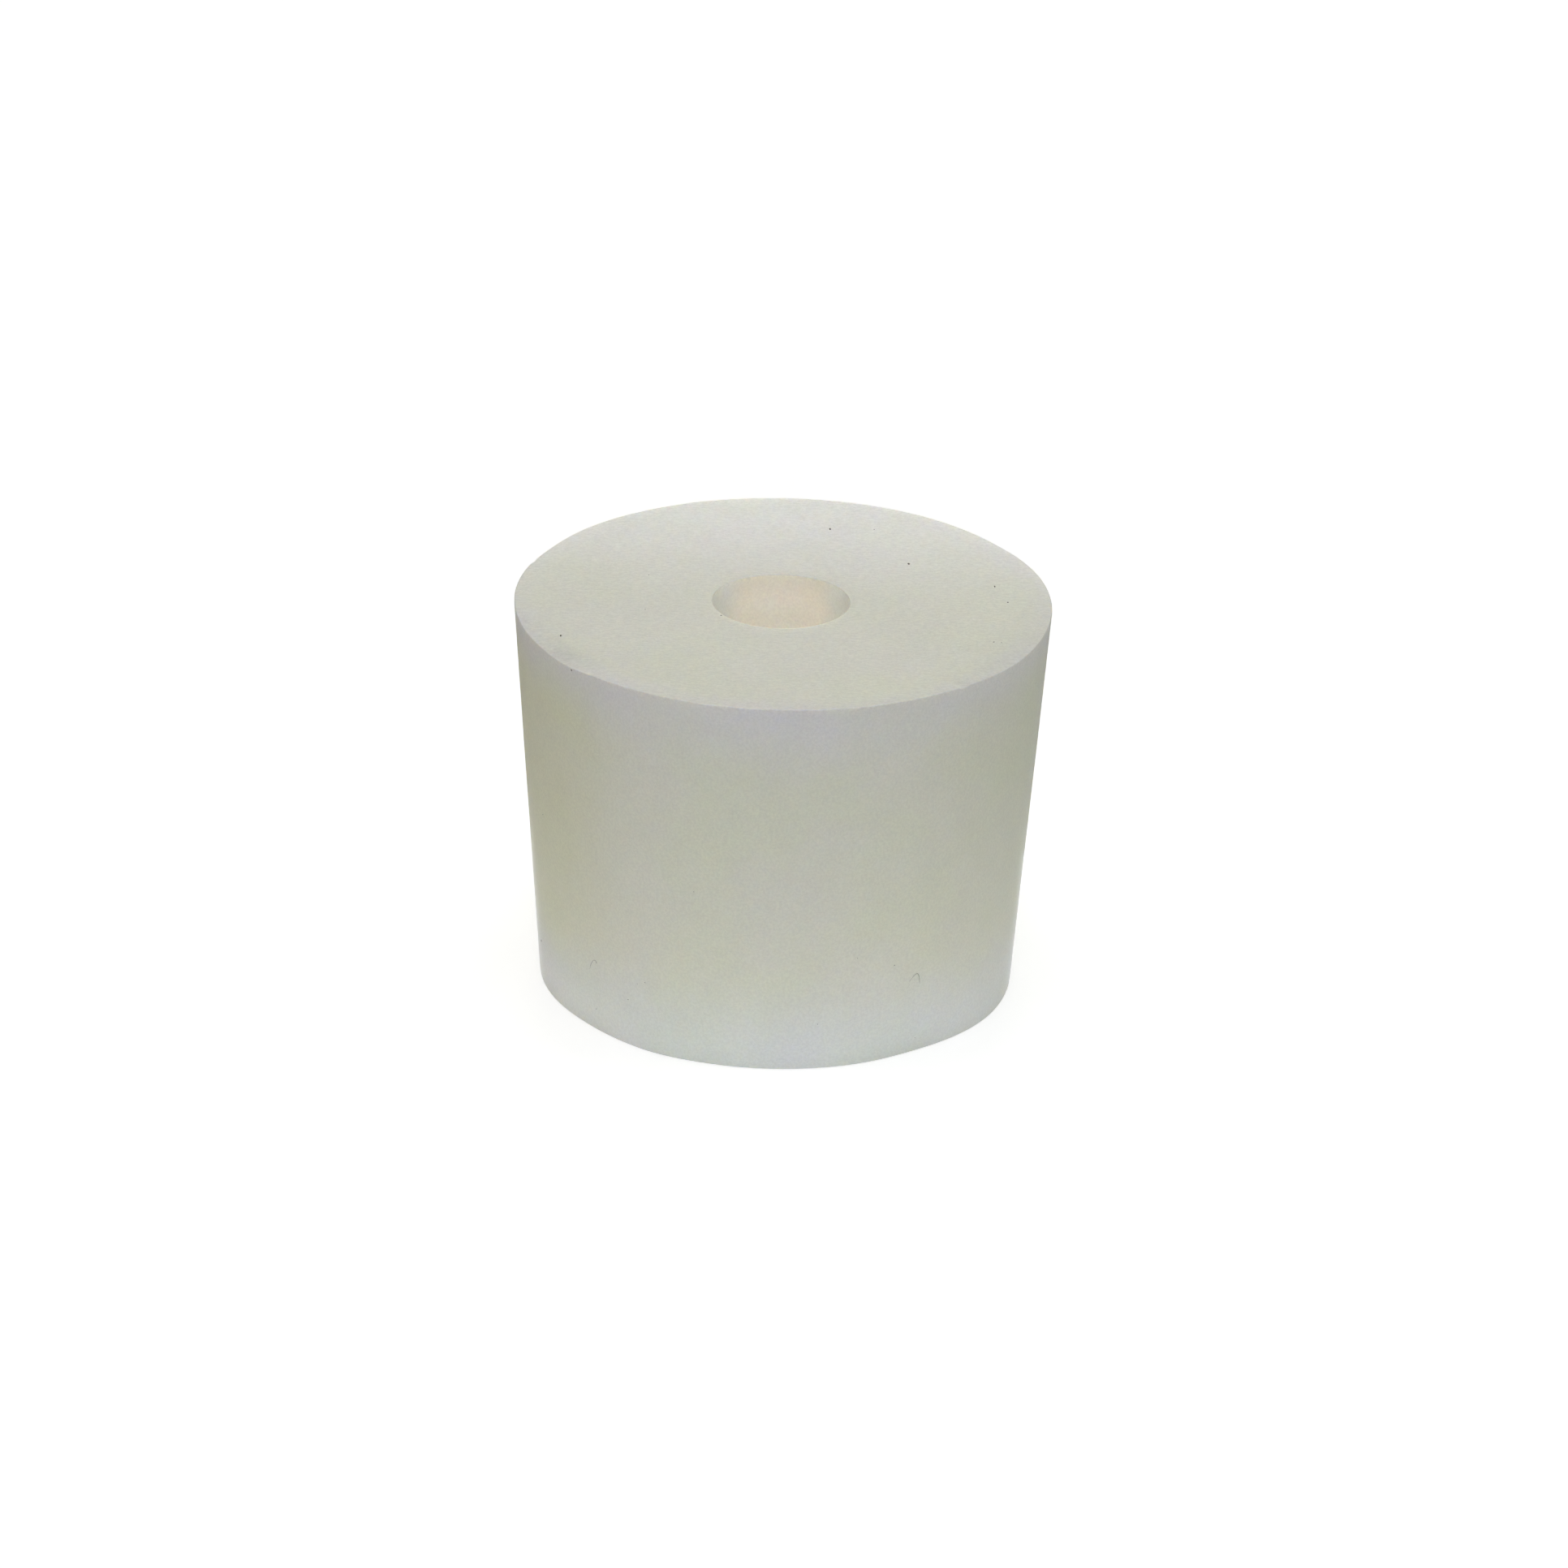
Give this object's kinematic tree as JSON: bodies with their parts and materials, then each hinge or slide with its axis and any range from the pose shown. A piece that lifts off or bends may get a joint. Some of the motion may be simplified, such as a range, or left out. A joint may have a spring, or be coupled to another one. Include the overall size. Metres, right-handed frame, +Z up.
{
  "type": "rubber stopper",
  "caption": "Tapered translucent silicone rubber stopper with a central through hole, for closing the neck of a vessel round a tube or stem.",
  "frame": {"origin": "centre of the flat narrow end, on which the stopper stands", "axes": "+Z up the axis of the bore, from the narrow end to the wide end; +X and +Y are free, because the body is a solid of revolution"},
  "size_m": [0.05, 0.05, 0.0375],
  "materials": {
    "silicone": "satin"
  },
  "bodies": {
    "root": {"stopper": "silicone"}
  },
  "joints": []
}
